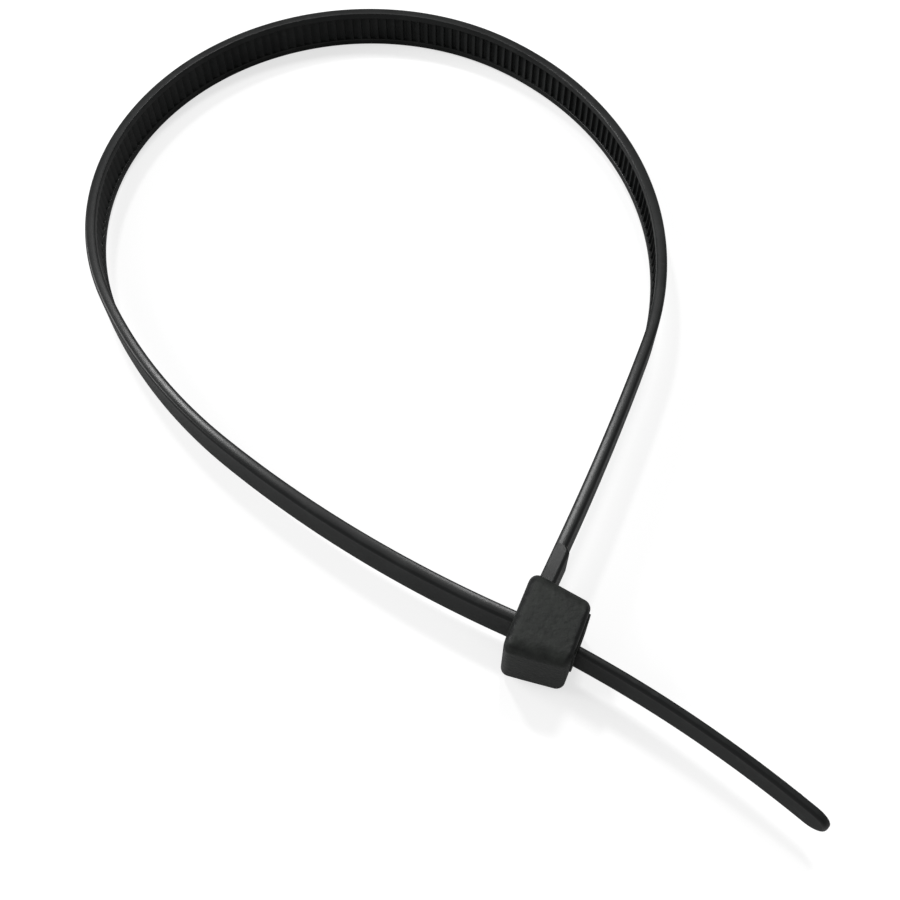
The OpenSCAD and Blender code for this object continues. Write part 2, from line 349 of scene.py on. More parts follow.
@dataclass(frozen=True)
class Loop:
    """Centreline of the strap, from the neck round the loop into the head's slot."""

    strap: StrapSize
    head: HeadSize
    tail: TailSize
    flank: Pair = (365.0, 4.0)
    side: Pair = (38.0, 76.5)
    crown: Pair = (30.5, 152.0)
    fullness: float = 0.84
    least_lead: float = 0.5

    @property
    def slot_end(self) -> float:
        """Where the strap starts to thin inside the head."""
        return self.head.exit - self.tail.blend

    @property
    def slot_run(self) -> float:
        """Length of the straight stretch, a whole number of teeth long."""
        teeth = math.ceil((self.slot_end + self.least_lead) / self.strap.pitch)
        return teeth * self.strap.pitch

    def arcs(self) -> list[Arc]:
        """Find the five arcs, the last two so that the loop closes on the slot.

        Returns:
            The arcs in order, from the neck.
        """
        head = self.head
        middle = self.strap.side - head.neck_proud - self.flank[0]
        neck_end = head.root_end + head.neck_length
        first = Arc(np.array([middle, neck_end]), self.flank[0], 0.0, self.flank[1])
        side = first.onward(*self.side)
        crown = side.onward(*self.crown)
        slot = np.array([self.slot_end - self.slot_run, 0.0])
        rise = unit(crown.start + crown.turn)[1]
        limit = (crown.centre[1] - slot[1] + crown.radius * rise) / (1 + rise)
        radius = self.fullness * limit
        opening = crown.onward(radius, 0.0)
        to_slot = slot - opening.centre
        closing = (radius**2 - to_slot @ to_slot) / (2 * (to_slot[1] + radius))
        centre = slot + np.array([0.0, closing])
        meet = opening.centre - centre
        angle = 360 + math.degrees(math.atan2(meet[1], meet[0]))
        shoulder = Arc(opening.centre, radius, opening.start, angle - opening.start)
        return [first, side, crown, shoulder, Arc(centre, closing, angle, 270 - angle)]

    def tooth_starts(self) -> np.ndarray:
        """Find where each tooth's steep face stands.

        Returns:
            The places along the centreline, from the neck.
        """
        found: list[float] = []
        done = 0.0
        for number, length in enumerate([arc.length for arc in self.arcs()] + [self.slot_run]):
            first = self.strap.plain if number == 0 else 0.0
            count = round((length - first) / self.strap.pitch)
            step = (length - first) / count
            lead = (step - self.strap.ramp) / 2
            found += [done + first + lead + i * step for i in range(count)]
            done += length
        return np.array(found)

    def total(self) -> float:
        """Return the whole length from the neck to where the strap thins in the head."""
        return sum(arc.length for arc in self.arcs()) + self.slot_run

    def at(self, along: np.ndarray) -> tuple[np.ndarray, np.ndarray]:
        """Find points of the centreline.

        Args:
            along: Distances from the neck's end. Below 0 the line runs straight back.

        Returns:
            The points, and the directions from them towards the loop's inside.
        """
        point = np.zeros(along.shape + (2,))
        inward = np.zeros_like(point)
        arcs = self.arcs()
        root = arcs[0].centre + arcs[0].radius * unit(0)
        point[...] = root + along[..., None] * np.array([0.0, 1.0])
        inward[...] = np.array([-1.0, 0.0])
        done = 0.0
        for arc in arcs:
            here = along >= done
            angle = np.radians(arc.start) + (along[here] - done) / arc.radius
            away = np.stack([np.cos(angle), np.sin(angle)], -1)
            point[here] = arc.centre + arc.radius * away
            inward[here] = -away
            done += arc.length
        here = along >= done
        point[here] = arcs[-1].end + (along[here] - done)[..., None] * np.array([1.0, 0.0])
        inward[here] = np.array([0.0, 1.0])
        return point, inward


@dataclass(frozen=True)
class TailLine:
    """Centreline of the tail, straight inside the head and bent away from the loop beyond it."""

    head: HeadSize
    tail: TailSize

    def at(self, along: np.ndarray) -> tuple[np.ndarray, np.ndarray]:
        """Find points of the centreline.

        Args:
            along: Distances from the head's exit face, negative inside the head.

        Returns:
            The points, and the directions from them towards the inner side.
        """
        radius = self.tail.radius
        slant = math.radians(self.tail.slant)
        rise = math.tan(slant) / 2
        past = np.maximum(along, 0.0)
        inside = np.minimum(along, 0.0)
        angle = slant * smooth_step(along, -self.tail.blend, 0.0) + past / radius
        u = self.head.exit + inside + radius * (np.sin(slant + past / radius) - math.sin(slant))
        v = -rise * (self.tail.blend + inside)
        v = v + radius * (np.cos(slant + past / radius) - math.cos(slant))
        return np.stack([u, v], -1), np.stack([np.sin(angle), np.cos(angle)], -1)


@dataclass(frozen=True)
class Rest:
    """How the closed tie lies on the table: on the head's side, with the loop's far side down."""

    loop: Loop
    head_turn: float = -25.5

    def matrix(self) -> Matrix:
        """Find how the tie lies.

        Returns:
            The map from the working frame in millimetres to the part's frame in metres.
        """
        head, strap, tail = self.loop.head, self.loop.strap, self.loop.tail
        _, side, crown, _, _ = self.loop.arcs()
        heel = head.leaned(np.array([head.entry_round - head.lip, head.root_end - head.end_round]))
        to_crown = crown.centre - heel
        reach = np.linalg.norm(to_crown) + crown.radius + strap.side
        tilt = math.asin((head.width - strap.width) / 2 / reach)
        axis = Vector((-to_crown[1], to_crown[0], 0.0))
        turn = Matrix.Rotation(math.radians(self.head_turn), 4, "Z")
        tip = TailLine(head, tail).at(np.array([tail.length]))[0][0]
        crown_at, side_at, tip_at = (
            (turn @ Vector((*p, 0.0))).xy for p in (crown.centre, side.centre, tip)
        )
        low_x = crown_at.x - crown.radius - strap.side
        high_x = max(tip_at.x, side_at.x + side.radius + strap.side)
        heading = math.radians(self.head_turn - tail.slant - tail.turn)
        low_y = tip_at.y - strap.side * math.cos(heading)
        high_y = crown_at.y + crown.radius + strap.side
        middle = Vector(((low_x + high_x) / 2, (low_y + high_y) / 2, 0.0))
        lift = Vector((0.0, 0.0, head.width / 2))
        foot = Vector((*heel, 0.0))
        return (
            Matrix.Scale(MM, 4)
            @ Matrix.Translation(lift - middle)
            @ turn
            @ Matrix.Translation(foot - lift)
            @ Matrix.Rotation(tilt, 4, axis)
            @ Matrix.Translation(lift - foot)
        )


@dataclass(frozen=True)
class Bench:
    """What every piece of the tie needs to be made: the map to the part's frame and the finishes."""

    place: Matrix
    materials: dict[Surface, bpy.types.Material]

    def mesh_piece(
        self, name: str, points: Points, faces: list[Face], surface: Surface, rub_and_shade: np.ndarray
    ) -> bpy.types.Object:
        """Make one swept piece of the tie and put it in the frame.

        Args:
            name: Name of the piece.
            points: Its points in the working frame, in millimetres.
            faces: Its faces, as numbers of points.
            surface: Its finish.
            rub_and_shade: How far handling polishes each point, and how far painted shade darkens its
                colour, from 0 to 1.

        Returns:
            The piece, riding on the root body in place of the CAD node.
        """
        mesh = new_mesh(name, points, faces)
        mesh.attributes.new("rub_and_shade", "FLOAT", "POINT").data.foreach_set("value", rub_and_shade)
        with opened(mesh) as solid:
            bmesh.ops.remove_doubles(solid, verts=solid.verts, dist=WELD)
            bmesh.ops.dissolve_degenerate(solid, edges=solid.edges, dist=WELD)
            bmesh.ops.recalc_face_normals(solid, faces=solid.faces)
        return self.seat(name, mesh, surface)

    def seat(
        self, name: str, mesh: bpy.types.Mesh, surface: Surface, crease: float = 38.0
    ) -> bpy.types.Object:
        """Move a finished mesh from the working frame to the part's frame and dress it.

        Args:
            name: Name of the piece.
            mesh: Its mesh, in the working frame.
            surface: Its finish.
            crease: Angle in degrees above which an edge is shaded sharp.

        Returns:
            The piece, riding on the root body in place of the CAD node.
        """
        mesh.transform(self.place)
        mesh.shade_smooth()
        mesh.set_sharp_from_angle(angle=math.radians(crease))
        mesh.materials.clear()
        mesh.materials.append(self.materials[surface])
        piece = new_object(name, mesh)
        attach(piece, "root")
        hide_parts(NODE)
        return piece


def sweep(
    line: Loop | TailLine, along: np.ndarray, inner: np.ndarray, across: np.ndarray
) -> tuple[np.ndarray, list[Face]]:
    """Run sections along a centreline.

    Args:
        line: The centreline.
        along: Place of each point along the line, one row for each section.
        inner: Level of each point towards the line's inner side.
        across: Place of each point across the strap.

    Returns:
        The points in the working frame and the faces between the sections, with both ends closed.
    """
    rows, count = across.shape
    point, inward = line.at(along)
    flat = point + inner[..., None] * inward
    points = np.concatenate([flat, across[..., None]], -1).reshape(-1, 3)
    faces: list[Face] = []
    for row in range(rows - 1):
        for column in range(count):
            a, b = row * count + column, row * count + (column + 1) % count
            faces.append((a, b, b + count, a + count))
    faces.append(tuple(range(count)))
    faces.append(tuple((rows - 1) * count + column for column in range(count)))
    return points, faces


def both_halves(half: np.ndarray) -> np.ndarray:
    """Mirror a half section into a whole one.

    Args:
        half: The half section, from the outer middle to the inner middle.

    Returns:
        The whole section.
    """
    mirrored = half[-2:0:-1].copy()
    mirrored[:, 1] *= -1
    return np.concatenate([half, mirrored])


def quarter(centre: Pair, radius: float, start: float, steps: int) -> list[Triple]:
    """Make the points of a rounded corner, marked as an edge that handling rubs and that painted
    shade darkens.

    Args:
        centre: Centre of the rounding, inner level and place across.
        radius: Its radius.
        start: Angle of its first point, with 0 towards the inner side and 90 across.
        steps: Number of steps, which go clockwise.

    Returns:
        Inner level, place across and rub of each point.
    """
    found = []
    for i in range(steps + 1):
        away = unit(start - 90.0 * i / steps)
        rub_and_shade = math.sqrt(math.sin(math.pi * i / steps)) if 0 < i < steps else RubAndShade.ROUNDING_END
        found.append((centre[0] + radius * away[0], centre[1] + radius * away[1], rub_and_shade))
    return found


@dataclass(frozen=True)
class Strap:
    """The toothed strap, with two smooth rails and a rack of saw teeth sunk between them."""

    size: StrapSize
    loop: Loop
    fillet: float = 0.05
    crown: float = 0.015
    inside_by: float = 0.006
    support: float = 0.09
    middle_share: float = 0.45
    fillet_share: float = 0.3
    edge_shares: tuple[float, ...] = (0.2, 0.4, 0.6, 0.8)
    outer_steps: int = 6
    rail_steps: int = 3
    plain_step: float = 0.55
    plain_clear: float = 0.3
    crest_from: float = 0.8

    def section(self) -> tuple[np.ndarray, np.ndarray, np.ndarray]:
        """Make the section with its band at the web's level.

        Returns:
            The whole section, which points lie between the rails, and which of those make the web.
        """
        s = self.size
        outer, rail, half, band = self.inside_by - s.side, s.side, s.half - self.crown, s.band
        corner, small, fillet = s.outer_round, s.rail_round, self.fillet
        bend = self.fillet_share * fillet
        points = [(outer, 0.0, RubAndShade.NONE), (outer, half * self.middle_share, RubAndShade.NONE)]
        points.append((outer, half - corner - self.support, RubAndShade.BESIDE_EDGE))
        points += quarter((outer + corner, half - corner), corner, 180.0, self.outer_steps)
        edge_from, edge_to = outer + corner, rail - small
        for share in self.edge_shares:
            rise = self.crown * (1 - (2 * share - 1) ** 2)
            points.append((edge_from + share * (edge_to - edge_from), half + rise, RubAndShade.EDGE_FACE))
        points += quarter((rail - small, half - small), small, 90.0, self.rail_steps)
        points += quarter((rail - small, band + small), small, 0.0, self.rail_steps)
        points += [
            (s.foot + fillet, band, RubAndShade.NONE),
            (s.foot + bend, band - bend, RubAndShade.NONE),
            (s.foot, band - fillet, RubAndShade.NONE),
            (s.foot, band / 2, RubAndShade.NONE),
            (s.foot, 0.0, RubAndShade.NONE),
        ]
        whole = both_halves(np.array(points))
        level, across = whole[:, 0], np.abs(whole[:, 1])
        between = (across < band + small + NEAR) & (level > 0)
        web = (across < band + NEAR) & (level <= s.foot + fillet + NEAR) & (level > 0)
        return whole, between, web

    def profile(self) -> tuple[np.ndarray, np.ndarray]:
        """Find the rows that the strap's mesh needs.

        Returns:
            The places along the strap, and the level of the band at each.
        """
        s = self.size
        # Place along the tooth from its steep face, and share of its height.
        tooth = np.array(
            [
                (0.0, 0.0),
                (0.02, 0.68),
                (0.04, 0.93),
                (0.075, 1.0),
                (0.13, 0.96),
                (s.ramp - 0.1, 0.09),
                (s.ramp - 0.02, 0.015),
                (s.ramp + 0.04, 0.0),
            ]
        )
        starts = self.loop.tooth_starts()
        plain = np.arange(0.0, starts[0] - self.plain_clear, self.plain_step)
        along = [plain, np.array([self.loop.total()])]
        level = [np.full(len(plain), s.foot), np.array([s.foot])]
        for start in starts:
            along.append(start + tooth[:, 0])
            level.append(s.foot + s.tooth * tooth[:, 1])
        places, levels = np.concatenate(along), np.concatenate(level)
        order = np.argsort(places)
        return places[order], levels[order]

    def build(self, bench: Bench) -> bpy.types.Object:
        """Make the strap's mesh and dress it.

        Args:
            bench: Map and finishes.

        Returns:
            The strap.
        """
        section, between, web = self.section()
        places, levels = self.profile()
        inner, across, rub_and_shade = (np.repeat(section[None, :, i], len(places), 0) for i in range(3))
        inner[:, web] += (levels - self.size.foot)[:, None]
        inner[:, between] = np.maximum(inner[:, between], levels[:, None])
        along = np.repeat(places[:, None], len(section), 1)
        points, faces = sweep(self.loop, along, inner, across)
        foot, tooth = self.size.foot, self.size.tooth
        crest = smooth_step(levels, foot + self.crest_from * tooth, foot + tooth)
        rub_and_shade[:, web] = np.maximum(rub_and_shade[:, web], RubAndShade.TOOTH_CREST * crest[:, None])
        return bench.mesh_piece("tie_strap", points, faces, Surface.SATIN, rub_and_shade.reshape(-1))


@dataclass(frozen=True)
class Neck:
    """The thicker root that carries the strap out of the head."""

    size: StrapSize
    head: HeadSize
    loop: Loop
    support: float = 0.12
    edge_support: float = 0.05
    blend_support: float = 0.06
    blend_clear: float = 0.25
    buried: float = 0.1
    outer_steps: int = 6
    rail_steps: int = 3

    def outer_level(self, along: float) -> float:
        """Find the level of the neck's outer side.

        Args:
            along: Place along the neck, from the strap's start.

        Returns:
            The level there.
        """
        extra = self.head.neck_thickness - self.size.thickness
        share = min(max(-along / self.head.neck_blend, 0.0), 1.0)
        return -self.size.side - extra * share

    def section(self, along: float) -> np.ndarray:
        """Make the section at one place.

        Args:
            along: Place along the neck, from the strap's start.

        Returns:
            The whole section there.
        """
        s, outer = self.size, self.outer_level(along)
        corner, small = s.outer_round, s.rail_round
        half = [(outer, 0.0, RubAndShade.NONE), (outer, s.half - corner - self.support, RubAndShade.BESIDE_EDGE)]
        half += quarter((outer + corner, s.half - corner), corner, 180.0, self.outer_steps)
        half += [
            (outer + corner + self.edge_support, s.half, RubAndShade.NECK_EDGE_FACE),
            (s.side - small - self.support, s.half, RubAndShade.NECK_EDGE_FACE),
        ]
        half += quarter((s.side - small, s.half - small), small, 90.0, self.rail_steps)
        half += [(s.side, s.half - small - self.support, RubAndShade.BESIDE_EDGE), (s.side, 0.0, RubAndShade.NONE)]
        return both_halves(np.array(half))

    def build(self, bench: Bench) -> bpy.types.Object:
        """Make the neck's mesh and dress it.

        Args:
            bench: Map and finishes.

        Returns:
            The neck.
        """
        length, blend, near = self.head.neck_length, self.head.neck_blend, self.blend_support
        places = [-length - self.head.end_round - self.buried, -length, -blend - self.blend_clear]
        places += [-blend - near, -blend + near, -blend / 2, -near, 0.0]
        grid = np.stack([self.section(place) for place in places])
        along = np.repeat(np.array(places)[:, None], grid.shape[1], 1)
        points, faces = sweep(self.loop, along, grid[..., 0], grid[..., 1])
        return bench.mesh_piece("tie_neck", points, faces, Surface.SATIN, grid[..., 2].reshape(-1))


@dataclass(frozen=True)
class Tail:
    """The plain tail, narrower than the strap, with a rounded tip and grip ribs on its inner side."""

    size: TailSize
    strap: StrapSize
    head: HeadSize
    outer_round: float = 0.34
    inner_round: float = 0.16
    support: float = 0.1
    rib_support: float = 0.06
    rib_flat: float = 0.2
    buried: float = 0.1
    row_step: float = 0.5
    rib_step: float = 0.075
    outer_steps: int = 6
    inner_steps: int = 3
    tip_steps: int = 14

    def half_section(self, outer: float, inner: float, half: float) -> np.ndarray:
        """Make half of a section of the tail.

        Args:
            outer: Level of the outer side.
            inner: Level of the inner side.
            half: Half of the width.

        Returns:
            Inner level, place across and rub of each point, from the outer to the inner middle.
        """
        corner, small = self.outer_round, self.inner_round
        rib_half = self.size.tip / 2 - self.size.rib_inset
        found = [(outer, 0.0, RubAndShade.NONE), (outer, half / 2, RubAndShade.NONE)]
        found.append((outer, half - corner - self.support, RubAndShade.BESIDE_EDGE))
        found += quarter((outer + corner, half - corner), corner, 180.0, self.outer_steps)
        found += quarter((inner - small, half - small), small, 90.0, self.inner_steps)
        under_ribs = (rib_half, rib_half - self.rib_support, rib_half / 2, 0.0)
        found += [(inner, place, RubAndShade.NONE) for place in under_ribs]
        return np.array(found)

    def rib_height(self, along: float) -> float:
        """Find how far the ribs stand above the tail's inner side.

        Args:
            along: Place along the tail, from the exit face.

        Returns:
            The height there.
        """
        t = self.size
        for i in range(t.ribs):
            away = abs(along - (t.length - t.tip - i * t.rib_pitch))
            if away < t.rib_width / 2:
                fall = smooth_step(np.array(away), t.rib_width * self.rib_flat, t.rib_width / 2)
                return t.rib * float(1 - fall)
        return 0.0

    def build(self, bench: Bench) -> bpy.types.Object:
        """Make the tail's mesh and dress it.

        Args:
            bench: Map and finishes.

        Returns:
            The tail.
        """
        t, side = self.size, self.strap.side
        round_r = t.tip / 2
        bend_end = t.length - round_r
        ribs_from = t.length - t.tip - (t.ribs - 1) * t.rib_pitch - t.rib_width
        ribs_to = t.length - t.tip + t.rib_width
        places = [-t.blend - self.buried, -t.blend / 2, 0.0]
        places += list(np.arange(self.row_step, ribs_from, self.row_step))
        places += list(np.arange(ribs_from, ribs_to, self.rib_step))
        places += [bend_end - t.rib_width, bend_end]
        rows, along = [], []
        for place in places:
            share = min(max(place / bend_end, 0.0), 1.0)
            half = t.width / 2 + (round_r - t.width / 2) * share
            sunk = self.buried * min(max(-place / (t.blend + self.buried), 0.0), 1.0)
            section = self.half_section(sunk - side, t.thickness - side - sunk, half)
            section[-3:, 0] += self.rib_height(place)
            rows.append(both_halves(section))
            along.append(np.full(len(rows[-1]), place))
        tip = both_halves(self.half_section(-side, t.thickness - side, round_r))
        for i in range(1, self.tip_steps + 1):
            angle = math.pi / 2 * i / self.tip_steps
            rows.append(tip * np.array([1.0, math.cos(angle), 1.0]))
            along.append(bend_end + np.abs(tip[:, 1]) * math.sin(angle))
        grid = np.stack(rows)
        line = TailLine(self.head, t)
        points, faces = sweep(line, np.stack(along), grid[..., 0], grid[..., 1])
        rub_and_shade = grid[..., 2].reshape(-1)
        return bench.mesh_piece("tie_tail", points, faces[:-1], Surface.SATIN, rub_and_shade)


def prism(outline: list[Pair], low: float, high: float, axes: str) -> bpy.types.Mesh:
    """Make a closed prism.

    Args:
        outline: Its outline, in the plane of the first two axes.
        low: Where it starts along the third axis.
        high: Where it ends along the third axis.
        axes: Order of the axes, such as "uvz" for an outline in U and V run along Z.

    Returns:
        The prism's mesh.
    """
    n = len(outline)
    points = np.zeros((2 * n, 3))
    values = ([p[0] for p in outline] * 2, [p[1] for p in outline] * 2, [low] * n + [high] * n)
    for axis, value in zip(axes, values):
        points[:, "uvz".index(axis)] = value
    faces = [tuple(range(n)), tuple(range(2 * n - 1, n - 1, -1))]
    faces += [(i, n + i, n + (i + 1) % n, (i + 1) % n) for i in range(n)]
    mesh = new_mesh("block", points, faces)
    with opened(mesh) as solid:
        bmesh.ops.recalc_face_normals(solid, faces=solid.faces)
    return mesh


def rounded_outline(low: Pair, high: Pair, radius: float, steps: int = 6) -> list[Pair]:
    """Make the outline of a rectangle with rounded corners.

    Args:
        low: Its lowest corner.
        high: Its highest corner.
        radius: Radius of the corners.
        steps: Steps in each corner.

    Returns:
        The outline's points, anticlockwise.
    """
    x0, y0, x1, y1 = low[0] + radius, low[1] + radius, high[0] - radius, high[1] - radius
    found = []
    for cx, cy, start in ((x1, y1, 0), (x0, y1, 90), (x0, y0, 180), (x1, y0, 270)):
        for i in range(steps + 1):
            away = unit(start + 90 * i / steps)
            found.append((cx + radius * away[0], cy + radius * away[1]))
    return found


def carve(target: bpy.types.Object, tool: bpy.types.Mesh, operation: str) -> None:
    """Join a block to a piece or cut it out of it.

    Args:
        target: The piece, whose mesh is changed.
        tool: The block.
        operation: UNION or DIFFERENCE.
    """
    block = new_object("carving_block", tool)
    step = target.modifiers.new("carve", "BOOLEAN")
    step.operation = operation
    step.solver = "EXACT"
    step.object = block
    graph = bpy.context.evaluated_depsgraph_get()
    result = bpy.data.meshes.new_from_object(target.evaluated_get(graph))
    target.modifiers.clear()
    target.data = result
    bpy.data.objects.remove(block)


def coordinates(mesh: bpy.types.Mesh) -> np.ndarray:
    """Read a mesh's points.

    Args:
        mesh: The mesh.

    Returns:
        Its points, one row for each.
    """
    found = np.zeros(len(mesh.vertices) * 3)
    mesh.vertices.foreach_get("co", found)
    return found.reshape(-1, 3)


@dataclass(frozen=True)
class Head:
    """The locking head: a drafted block with rounded edges, its slot, its pocket and its exit rim."""

    size: HeadSize
    strap: StrapSize
    steps: int = 56
    edge_crowding: float = 0.11
    reach: float = 1.2
    halvings: int = 40
    weld: float = 1e-4
    rim_root: float = 0.5
    rim_bevel: float = 0.1
    beyond: float = 1.0
    mouth_beyond: float = 0.2
    rubbed: Pair = (0.15, 0.75)
    crease: float = 42.0

    def distance(self, points: np.ndarray) -> np.ndarray:
        """Measure how far points stand outside the head's rounded block.

        Args:
            points: Points in the working frame.

        Returns:
            Their distances, negative inside.
        """
        h = self.size
        u, v, z = points[..., 0], points[..., 1], points[..., 2]
        end_rise = np.maximum(u + h.lip - h.end_straight * h.height, 0.0)
        side_rise = np.maximum(u + h.lip - h.side_straight * h.height, 0.0)
        root = v - h.root_end + end_rise * math.tan(math.radians(h.root_draft))
        free = -h.free_end - v + end_rise * math.tan(math.radians(h.free_draft))
        ends = np.maximum(root, free)
        sides = np.abs(z) - h.width / 2 + side_rise * math.tan(math.radians(h.side_draft))
        faces = np.maximum(-h.lip - u, u - h.exit)
        round_tube = round_meet(ends, sides, h.end_round)
        share = smooth_step(ends - sides, -h.end_round, h.end_round)
        near_exit = smooth_step(u, -h.lip + h.entry_round, h.exit - h.corner_round)
        face_round = h.entry_round + (h.exit_round - h.entry_round) * near_exit
        radius = face_round + (h.corner_round - face_round) * share
        return round_meet(round_tube, faces, radius)

    def block(self) -> tuple[np.ndarray, list[Face]]:
        """Find the rounded block along rays from its middle.

        Returns:
            Its points and faces.
        """
        h, n = self.size, self.steps
        middle = np.array([h.exit - h.height / 2, (h.root_end - h.free_end) / 2, 0.0])
        half = np.array([h.height, h.root_end + h.free_end, h.width]) / 2
        line = np.linspace(-1.0, 1.0, n + 1)
        line = line + self.edge_crowding * np.sin(math.pi * line)
        a, b = np.meshgrid(line, line, indexing="ij")
        points, faces = [], []
        for axis in range(3):
            for sign in (-1.0, 1.0):
                cube = np.zeros((n + 1, n + 1, 3))
                cube[..., axis] = sign
                cube[..., (axis + 1) % 3] = a
                cube[..., (axis + 2) % 3] = b
                ray = cube * half
                near = np.zeros(ray.shape[:2])
                far = np.full(ray.shape[:2], self.reach)
                for _ in range(self.halvings):
                    mid = (near + far) / 2
                    inside = self.distance(middle + ray * mid[..., None]) < 0
                    near = np.where(inside, mid, near)
                    far = np.where(inside, far, mid)
                base = sum(len(p) for p in points)
                points.append((middle + ray * near[..., None]).reshape(-1, 3))
                for i in range(n):
                    for j in range(n):
                        k = base + i * (n + 1) + j
                        faces.append((k, k + 1, k + n + 2, k + n + 1))
        return np.concatenate(points), faces

    def rim(self) -> bpy.types.Mesh:
        """Make the low rim round the slot's exit, with its outer edge eased.

        Returns:
            The rim's mesh.
        """
        h, s = self.size, self.strap
        half = s.half + h.slot_gap + h.rim_width
        low = -s.side - h.slot_gap - h.rim_width
        high = s.side + h.pocket + h.rim_width / 2
        top = h.exit + h.rim_height
        outline = rounded_outline((low, -half), (high, half), h.corner_round)
        mesh = prism(outline, h.exit - self.rim_root, top, "vzu")
        with opened(mesh) as solid:
            edges = [e for e in solid.edges if all(abs(v.co.x - top) < NEAR for v in e.verts)]
            bmesh.ops.bevel(
                solid, geom=edges, offset=self.rim_bevel, segments=3, affect="EDGES", profile=0.5
            )
        return mesh

    def cutters(self) -> list[bpy.types.Mesh]:
        """Make what is cut out of the block.

        Returns:
            The slot, its flared mouth and the pawl's pocket.
        """
        h, s = self.size, self.strap
        half_t, half_w = s.side + h.slot_gap, s.half + h.slot_gap
        through = h.exit + h.rim_height + self.beyond
        slot = [(-half_t, -half_w), (half_t, -half_w), (half_t, half_w), (-half_t, half_w)]
        wide = h.flare + self.mouth_beyond
        points = []
        for u, grow in ((-h.lip - self.mouth_beyond, wide), (h.flare - h.lip, 0.0)):
            for v, z in slot:
                points.append((u, v + math.copysign(grow, v), z + math.copysign(grow, z)))
        sides = [(i, (i + 1) % 4, 4 + (i + 1) % 4, 4 + i) for i in range(4)]
        mouth = new_mesh("mouth", points, [(3, 2, 1, 0), (4, 5, 6, 7), *sides])
        pocket_w, high = h.pawl_width / 2 + h.pawl_gap, s.side + h.pocket
        pocket = [(0.0, -pocket_w), (high, -pocket_w), (high, pocket_w), (0.0, pocket_w)]
        slot_block = prism(slot, -h.lip - self.beyond, through, "vzu")
        return [slot_block, mouth, prism(pocket, h.hinge, through, "vzu")]

    def rub_and_shade(self, points: np.ndarray) -> np.ndarray:
        """Find how far handling polishes points of the upright block, which also sets painted shade
        on its edges.

        Args:
            points: Points in the working frame, turned back upright.

        Returns:
            The rub of each, from 0 to 1 on the outer edges.
        """
        h = self.size
        u, v, z = points[:, 0], points[:, 1], points[:, 2]
        gaps = np.stack(
            [
                np.minimum(u + h.lip, h.exit - u),
                np.minimum(v + h.free_end, h.root_end - v),
                h.width / 2 - np.abs(z),
            ]
        )
        return 1.0 - smooth_step(np.sort(gaps, axis=0)[1], *self.rubbed)

    def build(self, bench: Bench) -> bpy.types.Object:
        """Make the head's mesh, cut it and dress it.

        Args:
            bench: Map and finishes.

        Returns:
            The head.
        """
        blank = new_mesh("head_blank", *self.block())
        with opened(blank) as solid:
            bmesh.ops.remove_doubles(solid, verts=solid.verts, dist=self.weld)
            bmesh.ops.recalc_face_normals(solid, faces=solid.faces)
        rough = new_object("head_blank", blank)
        carve(rough, self.rim(), "UNION")
        leaned = self.size.leaned(coordinates(rough.data))
        rough.data.vertices.foreach_set("co", leaned.reshape(-1))
        for tool in self.cutters():
            carve(rough, tool, "DIFFERENCE")
        made = rough.data
        bpy.data.objects.remove(rough)
        made.name = "tie_head"
        rub_and_shade = self.rub_and_shade(self.size.leaned(coordinates(made), -1.0))
        made.attributes.new("rub_and_shade", "FLOAT", "POINT").data.foreach_set("value", rub_and_shade)
        return bench.seat("tie_head", made, Surface.TEXTURED, self.crease)


@dataclass(frozen=True)
class Pawl:
    """The toothed tongue in the pocket, hinged near the entry, that locks the strap."""

    size: HeadSize
    strap: StrapSize
    loop: Loop
    buried: float = 0.1
    bevel: float = 0.03

    def outline(self) -> list[Pair]:
        """Draw the pawl seen from the side.

        Returns:
            Its outline, in U and V.
        """
        h, s = self.size, self.strap
        low = s.foot + h.tooth_gap
        high = low + s.tooth
        back = high + h.pawl_thickness
        hinge_back = back + h.hinge_rise
        land = s.pitch - s.ramp
        tip = self.loop.slot_end - s.pitch + land / 2 - h.tooth_gap
        root = h.hinge - self.buried
        count = 1 + math.floor((tip - land - root) / s.pitch)
        points = [(tip, back)]
        for i in range(count):
            u = tip - i * s.pitch
            points += [(u, high), (u, low), (u - land, low)]
        return points + [(root, high), (root, hinge_back), (h.hinge + h.hinge_run, hinge_back)]

    def build(self, bench: Bench) -> bpy.types.Object:
        """Make the pawl's mesh, ease its edges and dress it.

        Args:
            bench: Map and finishes.

        Returns:
            The pawl.
        """
        half = self.size.pawl_width / 2
        mesh = prism(self.outline(), -half, half, "uvz")
        with opened(mesh) as solid:
            edges = solid.edges[:]
            bmesh.ops.bevel(
                solid, geom=edges, offset=self.bevel, segments=2, affect="EDGES", profile=0.5
            )
        return bench.seat("tie_pawl", mesh, Surface.POLISHED)


